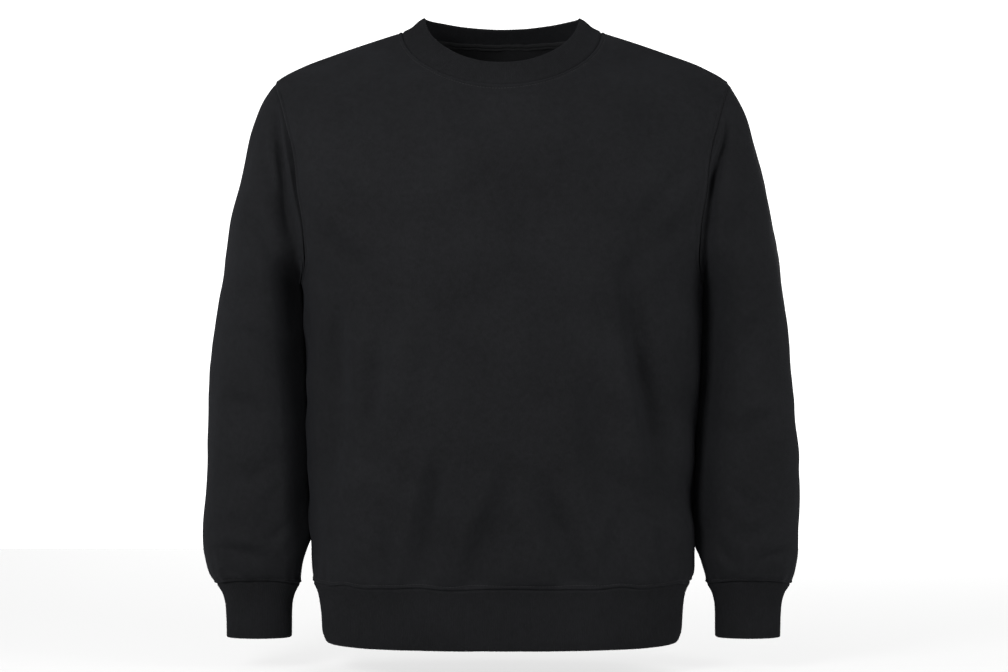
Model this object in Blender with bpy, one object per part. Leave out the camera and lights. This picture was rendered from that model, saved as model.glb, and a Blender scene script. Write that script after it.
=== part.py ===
"""A crewneck sweatshirt, filled out as if worn, with its set-in sleeves hanging at its sides.

It is cut as a front, a back and two sleeves, with a rib at the neck, at the hem and at each cuff.
Each piece is its own thin wall of cloth, and the neck, the hem, the armholes and the cuffs are open.

+Z is up, the front faces -Y and the wearer's left sleeve lies on +X. The origin is midway between
the two high shoulder points, where a wearer holds the garment up. The tables are in millimetres.
"""

import math
from types import SimpleNamespace

import bmesh
import bpy
from mathutils import Vector

COLLECTION = "crewneck_sweatshirt"
MILLIMETRE = 0.001
CLOTH_WALL = 2.0
RIB_WALL = 2.6
SEAM_GAP = 0.3
SLEEVE_CLEARANCE = 0.8

PANEL_COLUMNS = 20
ARMHOLE_STEPS = 10
SLEEVE_COLUMNS = 2 * ARMHOLE_STEPS

CLOTH_COLOR = (0.0165, 0.0170, 0.0190, 1.0)
RIB_COLOR = (0.0140, 0.0142, 0.0152, 1.0)
CLOTH_ROUGHNESS = 0.95


def table(columns, *rows):
    """Rows of numbers under named columns."""
    names = columns.split()
    return [SimpleNamespace(**dict(zip(names, row))) for row in rows]


# Rings of the body from the hem seam up to the neck seam. Each ring is a superellipse in plan:
# side_x is its half width, front_y and back_y its depth, and square its exponent. A ring dips from
# its height at the sides to its height at the front and the back, and the falls say how sharply.
RING = "side_x front_y back_y side_z front_z back_z square front_fall back_fall"
BODY = table(
    RING,
    (214.4, -118.0, 112.5, -621.5, -622.5, -621.5, 2.8, 1.5, 1.5),  # hem seam
    (216.8, -121.5, 116.0, -606.0, -606.0, -606.0, 2.7, 1.5, 1.5),  # fullness over the hem
    (217.6, -122.0, 117.0, -585.0, -585.0, -585.0, 2.6, 1.5, 1.5),
    (218.8, -121.0, 116.5, -540.0, -540.0, -540.0, 2.5, 1.5, 1.5),
    (220.2, -119.0, 115.0, -480.0, -480.0, -480.0, 2.5, 1.5, 1.5),  # waist
    (222.0, -118.5, 114.5, -415.0, -415.0, -415.0, 2.5, 1.5, 1.5),
    (224.6, -120.0, 116.0, -350.0, -350.0, -350.0, 2.5, 1.5, 1.5),
    (228.5, -122.0, 118.0, -285.0, -285.0, -285.0, 2.5, 1.5, 1.5),  # underarm
    (250.0, -123.0, 119.0, -216.0, -248.0, -243.0, 2.4, 1.5, 1.5),
    (269.0, -121.5, 119.0, -142.0, -211.0, -200.0, 2.25, 1.5, 1.5),
    (273.0, -118.0, 116.0, -85.0, -174.0, -154.0, 2.15, 1.5, 1.5),
    (258.5, -114.0, 110.0, -57.0, -143.0, -112.0, 2.05, 1.45, 1.45),  # shoulder point
    (228.0, -110.5, 104.5, -38.2, -119.0, -79.0, 2.0, 1.35, 1.35),
    (187.0, -107.0, 98.5, -22.5, -99.0, -52.0, 2.0, 1.25, 1.25),
    (148.0, -103.5, 91.5, -9.0, -83.0, -28.0, 2.0, 1.15, 1.15),
    (113.5, -99.5, 83.5, 2.0, -68.0, -5.0, 2.0, 1.1, 1.1),  # neck seam
)
UNDERARM_ROW = 7
SHOULDER_ROW = 11
ARMHOLE_SPAN = SHOULDER_ROW - UNDERARM_ROW
NECK_ROW = len(BODY) - 1

# How far the armhole cuts into the front and the back, as an angle around the body.
ARMHOLE = table(
    "panel cut_degrees square",
    ("front", 33.5, 2.3),
    ("back", 31.0, 2.3),
)
# How fast the cut fades from the armhole's edge towards the middle of a panel.
CUT_FADE = 1.5

# The ribs, as rings that carry on from the body's seam to their free edge.
NECK_RIB = table(
    RING,
    (103.0, -95.0, 77.5, 7.2, -57.0, 2.5, 2.0, 1.1, 1.5),
    (94.5, -91.0, 71.0, 14.6, -48.5, 8.8, 2.0, 1.1, 2.4),
    (88.0, -87.5, 66.0, 18.3, -42.0, 13.5, 2.0, 1.1, 3.6),  # upper edge
)
HEM_BAND = table(
    RING,
    (208.4, -116.0, 110.5, -635.0, -635.0, -635.0, 2.8, 1.5, 1.5),
    (205.4, -115.5, 109.5, -655.0, -655.0, -655.0, 2.8, 1.5, 1.5),
    (204.0, -114.5, 108.5, -678.0, -678.0, -678.0, 2.8, 1.5, 1.5),
    (199.5, -113.0, 107.0, -690.0, -690.5, -690.0, 2.8, 1.5, 1.5),  # lower edge
)

# Rings of the left sleeve from the armhole to the cuff seam. A ring runs from its outer point to its
# inner point, bows out to front_y and back_y between them, and is a superellipse in its own plane.
SLEEVE_RING = "outer_x outer_z inner_x inner_z front_y back_y square"
SLEEVE = table(
    SLEEVE_RING,
    (258.5, -57.0, 229.0, -285.0, -80.0, 76.0, 2.2),  # armhole
    (272.0, -79.0, 229.8, -290.0, -81.0, 77.0, 2.2),
    (284.0, -110.0, 229.6, -293.0, -82.0, 78.5, 2.2),
    (294.5, -146.0, 229.4, -296.5, -82.5, 80.0, 2.2),
    (303.0, -185.0, 229.0, -300.5, -82.5, 80.5, 2.2),
    (310.2, -226.0, 228.4, -306.0, -82.5, 80.0, 2.2),
    (316.8, -270.0, 226.6, -315.0, -82.0, 79.0, 2.2),
    (323.0, -320.0, 223.8, -335.0, -80.0, 77.0, 2.2),
    (328.5, -372.0, 220.8, -376.0, -77.0, 73.0, 2.2),
    (333.3, -430.0, 218.4, -431.0, -75.0, 66.0, 2.2),  # elbow
    (336.0, -490.0, 217.0, -490.0, -74.0, 55.0, 2.2),
    (336.8, -545.0, 217.4, -545.0, -73.0, 43.0, 2.2),
    (335.4, -585.0, 221.4, -583.0, -70.0, 34.0, 2.3),
    (331.5, -612.0, 227.5, -610.0, -63.0, 27.0, 2.3),
    (326.0, -625.0, 230.6, -625.0, -54.0, 20.0, 2.3),  # cuff seam
)
SLEEVE_LAST = len(SLEEVE) - 1.0
CUFF = table(
    SLEEVE_RING,
    (318.8, -637.0, 237.3, -637.0, -46.5, 15.5, 2.3),
    (315.6, -650.0, 240.1, -650.0, -43.5, 12.5, 2.3),
    (314.6, -668.0, 240.9, -668.0, -42.0, 11.5, 2.3),
    (314.4, -685.6, 241.0, -685.6, -41.5, 11.0, 2.3),  # lower edge
)
# The cuff seam is higher at the front, over this many of the sleeve's last rings.
CUFF_SEAM_RISE = 6.0
CUFF_SEAM_ROWS = 2
# The sleeve eases from the armhole's own curve into plain rings over this many rings.
ARMHOLE_EASING = 5.0
# At the armhole the sleeve carries on from the body where the cosine of the angle down from the
# shoulder point is above the higher of these, and lies down beside the body below the lower.
CARRIED_ON = (-0.9, -0.3)

# Each sleeve, and how far its cuff swings out.
SLEEVES = table(
    "name side sway",
    ("left", 1, 1.2),
    ("right", -1, -2.3),
)

# The largest folds, as troughs that run between two points of a piece seen from the front. A
# sleeve's folds are given as on the left one.
FOLDS = table(
    "piece start_x start_z end_x end_z width depth",
    ("front", 132.0, -262.0, 178.0, -425.0, 26.0, 3.0),
    ("front", 160.0, -395.0, 206.0, -560.0, 24.0, 3.2),
    ("front", -184.0, -290.0, -200.0, -490.0, 20.0, 2.6),
    ("front", -62.0, -500.0, -92.0, -618.0, 18.0, 2.4),
    ("front", 12.0, -535.0, -28.0, -616.0, 16.0, 2.2),
    ("front", 46.0, -560.0, 86.0, -616.0, 16.0, 1.8),
    ("front", -214.0, -170.0, -150.0, -238.0, 16.0, 2.0),
    ("front", 214.0, -176.0, 156.0, -250.0, 16.0, 2.0),
    ("back", -150.0, -250.0, -186.0, -440.0, 26.0, 3.0),
    ("back", 168.0, -300.0, 196.0, -500.0, 24.0, 2.8),
    ("back", 52.0, -505.0, 88.0, -616.0, 20.0, 2.4),
    ("back", -20.0, -540.0, -44.0, -612.0, 16.0, 2.0),
    ("back", 120.0, -150.0, -110.0, -170.0, 24.0, 2.0),
    ("sleeve_left", 262.0, -125.0, 229.0, -262.0, 11.0, 4.5),
    ("sleeve_left", 268.0, -215.0, 236.0, -305.0, 12.0, 3.5),
    ("sleeve_left", 300.0, -395.0, 236.0, -440.0, 16.0, 3.0),
    ("sleeve_left", 318.0, -470.0, 246.0, -500.0, 15.0, 2.6),
    ("sleeve_left", 236.0, -560.0, 300.0, -598.0, 13.0, 3.0),
    ("sleeve_right", 250.0, -110.0, 230.0, -258.0, 11.0, 4.5),
    ("sleeve_right", 276.0, -135.0, 238.0, -252.0, 13.0, 3.0),
    ("sleeve_right", 262.0, -250.0, 236.0, -325.0, 12.0, 3.0),
    ("sleeve_right", 306.0, -410.0, 238.0, -450.0, 16.0, 3.0),
    ("sleeve_right", 250.0, -520.0, 318.0, -552.0, 15.0, 2.4),
    ("sleeve_right", 318.0, -576.0, 252.0, -604.0, 12.0, 3.4),
)


def between(rows, place):
    """The row at a place between the table's rows, on a smooth curve that never overshoots them."""
    last = len(rows) - 1
    index = min(int(place), last - 1)
    share = place - index
    found = {}
    for name, start in vars(rows[index]).items():
        steps = [
            getattr(rows[i + 1], name) - getattr(rows[i], name) if 0 <= i < last else None
            for i in (index - 1, index, index + 1)
        ]
        step = steps[1]
        slopes = [step if other is None else mean_slope(other, step) for other in (steps[0], steps[2])]
        bend = slopes[0] + slopes[1] - 2 * step
        found[name] = start + share * (
            slopes[0] + share * (3 * step - 2 * slopes[0] - slopes[1] + share * bend)
        )
    return SimpleNamespace(**found)


def mean_slope(before, after):
    """A slope that is level at a peak and leans towards the flatter side elsewhere."""
    return 0.0 if before * after <= 0 else 2 * before * after / (before + after)


def signed_power(value, power):
    """A power of the value's size that keeps its sign."""
    return math.copysign(abs(value) ** power, value)


def ring_point(row, angle):
    """A point of a ring around the body: 0 is the centre front and a quarter turn the left side."""
    power = 2 / row.square
    toward_side = signed_power(math.sin(angle), power)
    toward_middle = abs(math.cos(angle)) ** power
    front = math.cos(angle) >= 0
    middle_y = row.front_y if front else row.back_y
    middle_z = row.front_z if front else row.back_z
    dip = (middle_z - row.side_z) * toward_middle ** (row.front_fall if front else row.back_fall)
    return Vector((row.side_x * toward_side, middle_y * toward_middle, row.side_z + dip))


def body_point(angle, place):
    return ring_point(between(BODY, place), angle)


def normal_of(surface, angle, place, last):
    """The outward direction of a surface whose places run from 0 to last."""
    turn = math.radians(0.5)
    step = 0.02
    low = max(place - step, 0.0)
    high = min(place + step, last)
    around = surface(angle + turn, place) - surface(angle - turn, place)
    along = surface(angle, high) - surface(angle, low)
    return around.cross(along).normalized()


def body_normal(angle, place):
    return normal_of(body_point, angle, place, NECK_ROW)


def fold_depth(piece, point):
    """How far the folds of a piece sink in at a point. Each fades out across and towards its ends."""
    total = 0.0
    for fold in FOLDS:
        if fold.piece != piece:
            continue
        run_x = fold.end_x - fold.start_x
        run_z = fold.end_z - fold.start_z
        length = math.hypot(run_x, run_z)
        from_x = point.x - fold.start_x
        from_z = point.z - fold.start_z
        along = (from_x * run_x + from_z * run_z) / length**2
        across = (from_x * run_z - from_z * run_x) / length / fold.width
        if 0 < along < 1:
            total += fold.depth * math.sin(math.pi * along) * math.exp(-(across**2))
    return total


def armhole_cut(panel, share):
    """How far the armhole cuts in, from the underarm at 0 to the shoulder point at 1."""
    cut = next(row for row in ARMHOLE if row.panel == panel)
    reach = (1 - abs(math.cos(math.pi * share)) ** cut.square) ** (1 / cut.square)
    return math.radians(cut.cut_degrees) * reach


def panel_place(panel, height, share):
    """Where a panel's grid point lies on the body, as an angle and a place in its rings.

    height counts the body's rings from the hem, and share runs from -1 to 1 across the panel. Along
    the armhole the rows bend, to follow its curve at the edge and the body's rings further in.
    """
    angle = share * math.pi / 2
    place = height
    if UNDERARM_ROW < height < SHOULDER_ROW:
        up = (height - UNDERARM_ROW) / ARMHOLE_SPAN
        angle -= signed_power(share, CUT_FADE) * armhole_cut(panel, up)
        edge_place = UNDERARM_ROW + ARMHOLE_SPAN * (1 - math.cos(math.pi * up)) / 2
        place += (edge_place - height) * share**2
    return (angle if panel == "front" else math.pi - angle), place


def cloth_object(name, outer, inner, closed, color):
    """A wall of cloth between two grids of points. A closed one runs around in a ring."""
    mesh = bmesh.new()
    skins = []
    for grid in (outer, inner):
        skins.append([[mesh.verts.new(point * MILLIMETRE) for point in row] for row in grid])
    height = len(outer)
    width = len(outer[0])
    spans = width if closed else width - 1
    for skin in skins:
        for i in range(height - 1):
            for j in range(spans):
                k = (j + 1) % width
                mesh.faces.new((skin[i][j], skin[i][k], skin[i + 1][k], skin[i + 1][j]))
    for i in (0, height - 1):
        for j in range(spans):
            k = (j + 1) % width
            mesh.faces.new((skins[0][i][j], skins[0][i][k], skins[1][i][k], skins[1][i][j]))
    for j in () if closed else (0, width - 1):
        for i in range(height - 1):
            mesh.faces.new((skins[0][i][j], skins[0][i + 1][j], skins[1][i + 1][j], skins[1][i][j]))
    bmesh.ops.recalc_face_normals(mesh, faces=mesh.faces[:])
    data = bpy.data.meshes.new(name)
    mesh.to_mesh(data)
    mesh.free()
    data.shade_smooth()
    data.materials.append(cloth_material(name, color))
    made = bpy.data.objects.new(name, data)
    bpy.data.collections[COLLECTION].objects.link(made)
    return made


def cloth_material(name, color):
    material = bpy.data.materials.new(name)
    material.use_nodes = True
    shader = material.node_tree.nodes["Principled BSDF"]
    shader.inputs["Base Color"].default_value = color
    shader.inputs["Roughness"].default_value = CLOTH_ROUGHNESS
    shader.inputs["Metallic"].default_value = 0.0
    material.diffuse_color = color
    return material


def panel_heights():
    """The rows of a panel's grid, below, beside and above the armhole."""
    below = [0.0, 0.5, 1.0, 2.0, 3.0, 4.0, 5.0, 6.0, 6.6]
    beside = [UNDERARM_ROW + ARMHOLE_SPAN * i / ARMHOLE_STEPS for i in range(ARMHOLE_STEPS + 1)]
    above = [float(i) for i in range(SHOULDER_ROW + 1, NECK_ROW + 1)]
    return below + beside + above


def make_panel(panel):
    """The front or the back, from side seam to side seam and up to the shoulders and the neck."""
    away = Vector((0, -SEAM_GAP / 2 if panel == "front" else SEAM_GAP / 2, 0))
    outer = []
    inner = []
    for height in panel_heights():
        outer_row = []
        inner_row = []
        for j in range(PANEL_COLUMNS + 1):
            share = 2 * j / PANEL_COLUMNS - 1
            angle, place = panel_place(panel, height, share)
            point = body_point(angle, place) + away
            normal = body_normal(angle, place)
            sunk = fold_depth(panel, point) * (1 - share**8) * min(place, 1.0)
            point -= sunk * normal
            outer_row.append(point)
            inner_row.append(point - CLOTH_WALL * normal)
        outer.append(outer_row)
        inner.append(inner_row)
    cloth_object(f"{panel}_panel", outer, inner, False, CLOTH_COLOR)


def make_band(name, rows, seam_row):
    """A rib that carries on from one of the body's rows to its own free edge, as a closed ring."""
    seam = BODY[seam_row]
    rows = [seam] + rows
    last = len(rows) - 1.0
    outward = 1 if rows[-1].side_z > seam.side_z else -1
    outer = []
    inner = []

    def surface(angle, place):
        return ring_point(between(rows, place), angle)

    for i in range(len(rows)):
        outer_row = []
        inner_row = []
        for j in range(2 * PANEL_COLUMNS):
            angle = math.pi * j / PANEL_COLUMNS
            point = surface(angle, float(i))
            if i == 0:
                point += SEAM_GAP * (surface(angle, 1.0) - point).normalized()
                normal = body_normal(angle, float(seam_row))
            else:
                normal = outward * normal_of(surface, angle, float(i), last)
            outer_row.append(point)
            inner_row.append(point - RIB_WALL * normal)
        outer.append(outer_row)
        inner.append(inner_row)
    cloth_object(name, outer, inner, True, RIB_COLOR)


def armhole_point(angle):
    """The armhole's edge and the body's normal there. The angle runs from the shoulder point at 0
    down the front to the underarm at half a turn, and back up behind."""
    angle %= 2 * math.pi
    panel, down = ("front", angle / math.pi) if angle <= math.pi else ("back", 2 - angle / math.pi)
    height = SHOULDER_ROW - down * ARMHOLE_SPAN
    body_angle, place = panel_place(panel, height, 1.0)
    return body_point(body_angle, place), body_normal(body_angle, place)


def sleeve_ring_point(row, angle):
    """A point of a ring of the sleeve or the cuff, with the angle as at the armhole."""
    power = 2 / row.square
    outward = signed_power(math.cos(angle), power)
    forward = signed_power(math.sin(angle), power)
    middle_x = (row.outer_x + row.inner_x) / 2
    middle_z = (row.outer_z + row.inner_z) / 2
    middle_y = (row.front_y + row.back_y) / 2
    half_depth = (row.back_y - row.front_y) / 2
    return Vector(
        (
            middle_x + (row.outer_x - row.inner_x) / 2 * outward,
            middle_y - half_depth * forward,
            middle_z + (row.outer_z - row.inner_z) / 2 * outward,
        )
    )


def body_side(y, z):
    """How far out the body reaches below the underarm, at one depth and height."""
    low, high = 0.0, float(UNDERARM_ROW)
    while high - low > 0.001:
        middle = (low + high) / 2
        if between(BODY, middle).side_z < z:
            low = middle
        else:
            high = middle
    row = between(BODY, low)
    depth = abs(y / (row.front_y if y < 0 else row.back_y))
    return row.side_x * max(1 - depth**row.square, 0.0) ** (1 / row.square)


def beside_body(point):
    """The point itself, or the nearest one further out that leaves the body clear."""
    height = min(point.z, BODY[UNDERARM_ROW].side_z)
    return Vector((max(point.x, body_side(point.y, height) + SLEEVE_CLEARANCE), point.y, point.z))


def near_cuff(place):
    """Rises from 0 to 1 over the sleeve's last rings."""
    return max(place - SLEEVE_LAST + CUFF_SEAM_ROWS, 0.0) / CUFF_SEAM_ROWS


def sleeve_point(angle, place):
    """The sleeve's surface. Its first rings ease from the armhole's own curve into plain rings, and
    its inner side lies along the body."""
    point = sleeve_ring_point(between(SLEEVE, place), angle)
    if place < ARMHOLE_EASING:
        share = 1 - place / ARMHOLE_EASING
        weight = share * share * (3 - 2 * share)
        point += weight * (armhole_point(angle)[0] - sleeve_ring_point(SLEEVE[0], angle))
    share = near_cuff(place)
    point.z += CUFF_SEAM_RISE * share * share * max(math.sin(angle), 0) ** 2
    return beside_body(point) if place > 0 and math.cos(angle) < 0 else point


def sleeve_places():
    """The rings of a sleeve's grid, closer together near the armhole."""
    near = [0.0, 0.4, 1.0, 1.6, 2.3]
    return near + [float(i) for i in range(3, len(SLEEVE))]


def mirrored(grid, side):
    return [[Vector((side * point.x, point.y, point.z)) for point in row] for row in grid]


def sleeve_normal(angle, place):
    return normal_of(sleeve_point, angle, place, SLEEVE_LAST)


def sleeve_start(angle):
    """The sleeve's edge at the armhole seam, and the direction of its wall there. It carries on from
    the body, apart from the lowest part of the armhole, where it folds back down beside the body."""
    edge, edge_normal = armhole_point(angle)
    turn = math.radians(1)
    seam_line = armhole_point(angle + turn)[0] - armhole_point(angle - turn)[0]
    low, high = CARRIED_ON
    carried_on = min(max((math.cos(angle) - low) / (high - low), 0.0), 1.0)
    onward = edge_normal.cross(seam_line).normalized()
    away = (carried_on * onward + (1 - carried_on) * edge_normal).normalized()
    normal = (carried_on * edge_normal + (1 - carried_on) * sleeve_normal(angle, 0.0)).normalized()
    return edge + SEAM_GAP * away, normal


def make_sleeve(sleeve):
    name = f"sleeve_{sleeve.name}"
    outer = []
    inner = []
    for place in sleeve_places():
        outer_row = []
        inner_row = []
        for j in range(SLEEVE_COLUMNS):
            angle = 2 * math.pi * j / SLEEVE_COLUMNS
            if place == 0:
                point, normal = sleeve_start(angle)
            else:
                point = sleeve_point(angle, place)
                normal = sleeve_normal(angle, place)
                point -= fold_depth(name, point) * min(place, SLEEVE_LAST - place, 1.0) * normal
                if math.cos(angle) < 0:
                    point = beside_body(point)
                point.x += sleeve.sway * near_cuff(place)
            outer_row.append(point)
            inner_row.append(point - CLOTH_WALL * normal)
        outer.append(outer_row)
        inner.append(inner_row)
    cloth_object(name, mirrored(outer, sleeve.side), mirrored(inner, sleeve.side), True, CLOTH_COLOR)


def cuff_point(angle, place):
    """The cuff's surface, from the sleeve's last ring at 0 to its own lower edge."""
    point = sleeve_ring_point(between([SLEEVE[-1]] + CUFF, place), angle)
    point.z += CUFF_SEAM_RISE * max(1 - place, 0) * max(math.sin(angle), 0) ** 2
    return point


def make_cuff(sleeve):
    last = float(len(CUFF))
    sway = Vector((sleeve.sway, 0, 0))
    outer = []
    inner = []
    for i in range(len(CUFF) + 1):
        outer_row = []
        inner_row = []
        for j in range(SLEEVE_COLUMNS):
            angle = 2 * math.pi * j / SLEEVE_COLUMNS
            point = cuff_point(angle, float(i))
            if i == 0:
                point += SEAM_GAP * (cuff_point(angle, 0.5) - point).normalized()
                normal = sleeve_normal(angle, SLEEVE_LAST)
            else:
                normal = normal_of(cuff_point, angle, float(i), last)
            outer_row.append(point + sway)
            inner_row.append(point + sway - RIB_WALL * normal)
        outer.append(outer_row)
        inner.append(inner_row)
    name = f"cuff_{sleeve.name}"
    cloth_object(name, mirrored(outer, sleeve.side), mirrored(inner, sleeve.side), True, RIB_COLOR)


def clear_scene():
    for item in list(bpy.data.objects):
        bpy.data.objects.remove(item, do_unlink=True)


def main():
    clear_scene()
    collection = bpy.data.collections.new(COLLECTION)
    bpy.context.scene.collection.children.link(collection)
    make_panel("front")
    make_panel("back")
    make_band("neck_rib", NECK_RIB, NECK_ROW)
    make_band("hem_band", HEM_BAND, 0)
    for sleeve in SLEEVES:
        make_sleeve(sleeve)
        make_cuff(sleeve)


main()
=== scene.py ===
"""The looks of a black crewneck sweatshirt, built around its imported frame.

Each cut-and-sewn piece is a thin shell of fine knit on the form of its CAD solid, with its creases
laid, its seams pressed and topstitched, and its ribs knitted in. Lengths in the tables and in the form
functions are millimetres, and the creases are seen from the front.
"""

import math
from types import SimpleNamespace

import bpy
import numpy as np
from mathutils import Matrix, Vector
from mathutils.kdtree import KDTree


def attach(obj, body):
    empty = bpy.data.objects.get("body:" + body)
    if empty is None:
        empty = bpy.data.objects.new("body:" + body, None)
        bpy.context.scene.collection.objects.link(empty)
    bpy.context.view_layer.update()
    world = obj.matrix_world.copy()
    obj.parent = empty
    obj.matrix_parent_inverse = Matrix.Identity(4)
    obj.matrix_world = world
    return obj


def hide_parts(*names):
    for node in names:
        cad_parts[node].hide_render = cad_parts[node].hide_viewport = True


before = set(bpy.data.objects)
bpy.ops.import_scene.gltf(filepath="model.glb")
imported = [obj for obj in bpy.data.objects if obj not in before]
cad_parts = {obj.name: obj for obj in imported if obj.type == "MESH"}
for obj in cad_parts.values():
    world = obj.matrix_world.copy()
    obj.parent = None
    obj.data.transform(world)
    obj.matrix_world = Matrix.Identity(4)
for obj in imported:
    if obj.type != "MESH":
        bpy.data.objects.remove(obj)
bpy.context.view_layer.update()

MM = 0.001
CLOTH_WALL = 2.0
RIB_WALL = 2.6
RIB_DEPTH = 0.15
SEAM_GAP = 0.12
SLEEVE_CLEARANCE = 0.3

GRID_STEP = 3.3
EDGE_STEPS = (0.0, 0.8, 1.6, 2.4, 3.2, 4.0, 4.8, 5.7, 7.0, 9.0)  # the grid's lines beside a seam
PANEL_SPREAD = 540.0
PANEL_RUN = 0.7  # the angle at which a panel's height is measured out in grid steps
BAND_RUN = 0.8  # the same for a band
SLEEVE_COLUMNS = 148

STITCH_LINE = 4.4
STITCH_LENGTH = 2.7
STITCH_PITCH = 3.4
THREAD_RADIUS = 0.42
THREAD_SIDES = 5
# Rings along a stitch: where in its half length, how thick, and how high in thread radii.
STITCH_PROFILE = (
    (-1.0, 0.35, -0.5),
    (-0.7, 0.85, 0.0),
    (0.0, 1.0, 0.28),
    (0.7, 0.85, 0.0),
    (1.0, 0.35, -0.5),
)

RUMPLES = ((140.0, 1.9), (60.0, 0.85), (26.0, 0.20))  # wavelength and size
WAVES_IN_RUMPLE = 12
SEEDS = {"front": 11, "back": 21, "left": 31, "right": 41, "band": 51}
SLEEVE_RUMPLES = 0.6  # the sleeves' rumples as a share of the body's
CALMED_BESIDE_BODY = 0.7  # the share of a sleeve's folds that it loses where it lies against the body
# A topstitched seam's ditch, rounded edge and stitch line: height, place and width.
PRESSED_SEAM = ((-0.95, 0.0, 0.9), (0.75, 2.2, 1.5), (-0.5, STITCH_LINE, 0.75))
CALM_BESIDE_SEAM = 14.0  # how far from a seam the folds reach their full size
CALM_BESIDE_RIB = 10.0
HEM_WAVES = ((0.9, 14, 0.6), (0.5, 23, 2.1), (0.4, 9, 4.0))  # size, count and phase
WAVE_REACH = 14.0
HEM_GATHERS, CUFF_GATHERS = (31, 44, 58), (9, 14, 21)  # counts round the body and round a sleeve
GATHER_REACH = 16.0
TAPE_ENDS = (97, 263)  # degrees round the neck
TAPE_COLUMNS = 190

# The tuck draws each sleeve's inner front back beside the body. Its turns are degrees round the sleeve,
# from its outer side by way of the front.
TUCK_DEPTH = 44.0
TUCK_START = 108.0
TUCK_NARROWING = 13.0
TUCK_RISE = 40.0
TUCK_END = (258.0, 183.0)
TUCK_INWARD = 0.3

FLOOR_HALF = 1.5
FLOOR_POINTS = 13
FLOOR_Z = -0.722
FLOOR_SHARE = 0.52  # how much of the floor's light is its own, the rest being the air's behind it
AIR_SEEN = 1.55
AIR_LIGHT = 0.14
# Each light's name, place, target, size and power.
LIGHTS = (
    ("key", (-0.8, -1.25, 0.24), (0, 0, -0.2), (0.6, 0.6), 8.2),
    ("left_box", (-2.0, -0.9, 0.1), (0, 0, -0.25), (0.8, 1.2), 3.2),
    ("right_box", (1.7, -1.1, 0.2), (0, 0, -0.2), (0.8, 1.2), 9.4),
    ("back_box", (0.5, 2.3, 0.4), (0, 0, -0.3), (1.4, 1.0), 20.0),
)
CAMERA_PLACE = (0.0023, -2.7, -0.345)
CAMERA_LENS = 84.5


def table(columns, *rows):
    """Columns of numbers under their names."""
    names = columns.split()
    return SimpleNamespace(
        **{name: np.array([row[i] for row in rows]) for i, name in enumerate(names)}
    )


# The form, as rings of the body, the bands, the left sleeve and its cuff.
RING = "side_x front_y back_y side_z front_z back_z square front_fall back_fall"
BODY_ROWS = (
    (214.4, -118.0, 112.5, -621.5, -622.5, -621.5, 2.8, 1.5, 1.5),  # hem seam
    (216.8, -121.5, 116.0, -606.0, -606.0, -606.0, 2.7, 1.5, 1.5),
    (217.6, -122.0, 117.0, -585.0, -585.0, -585.0, 2.6, 1.5, 1.5),
    (218.8, -121.0, 116.5, -540.0, -540.0, -540.0, 2.5, 1.5, 1.5),
    (220.2, -119.0, 115.0, -480.0, -480.0, -480.0, 2.5, 1.5, 1.5),  # waist
    (222.0, -118.5, 114.5, -415.0, -415.0, -415.0, 2.5, 1.5, 1.5),
    (224.6, -120.0, 116.0, -350.0, -350.0, -350.0, 2.5, 1.5, 1.5),
    (228.5, -122.0, 118.0, -285.0, -285.0, -285.0, 2.5, 1.5, 1.5),  # underarm
    (250.0, -123.0, 119.0, -216.0, -248.0, -243.0, 2.4, 1.5, 1.5),
    (269.0, -121.5, 119.0, -142.0, -211.0, -200.0, 2.25, 1.5, 1.5),
    (273.0, -118.0, 116.0, -85.0, -174.0, -154.0, 2.15, 1.5, 1.5),
    (258.5, -114.0, 110.0, -57.0, -143.0, -112.0, 2.05, 1.45, 1.45),  # shoulder point
    (228.0, -110.5, 104.5, -38.2, -119.0, -79.0, 2.0, 1.35, 1.35),
    (187.0, -107.0, 98.5, -22.5, -99.0, -52.0, 2.0, 1.25, 1.25),
    (148.0, -103.5, 91.5, -9.0, -83.0, -28.0, 2.0, 1.15, 1.15),
    (113.5, -99.5, 83.5, 2.0, -68.0, -5.0, 2.0, 1.1, 1.1),  # neck seam
)
BODY = table(RING, *BODY_ROWS)
UNDERARM_ROW, SHOULDER_ROW, NECK_ROW = 7, 11, 15
ARMHOLE_SPAN = SHOULDER_ROW - UNDERARM_ROW
ARMHOLE_CUT = {"front": (math.radians(33.5), 2.3), "back": (math.radians(31.0), 2.3)}
CUT_FADE = 1.5

NECK_RIB = table(
    RING,
    BODY_ROWS[-1],
    (103.0, -95.0, 77.5, 7.2, -57.0, 2.5, 2.0, 1.1, 1.5),
    (94.5, -91.0, 71.0, 14.6, -48.5, 8.8, 2.0, 1.1, 2.4),
    (88.0, -87.5, 66.0, 18.3, -42.0, 13.5, 2.0, 1.1, 3.6),
)
HEM_BAND = table(
    RING,
    BODY_ROWS[0],
    (208.4, -116.0, 110.5, -635.0, -635.0, -635.0, 2.8, 1.5, 1.5),
    (205.4, -115.5, 109.5, -655.0, -655.0, -655.0, 2.8, 1.5, 1.5),
    (204.0, -114.5, 108.5, -678.0, -678.0, -678.0, 2.8, 1.5, 1.5),
    (199.5, -113.0, 107.0, -690.0, -690.5, -690.0, 2.8, 1.5, 1.5),
)

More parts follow.
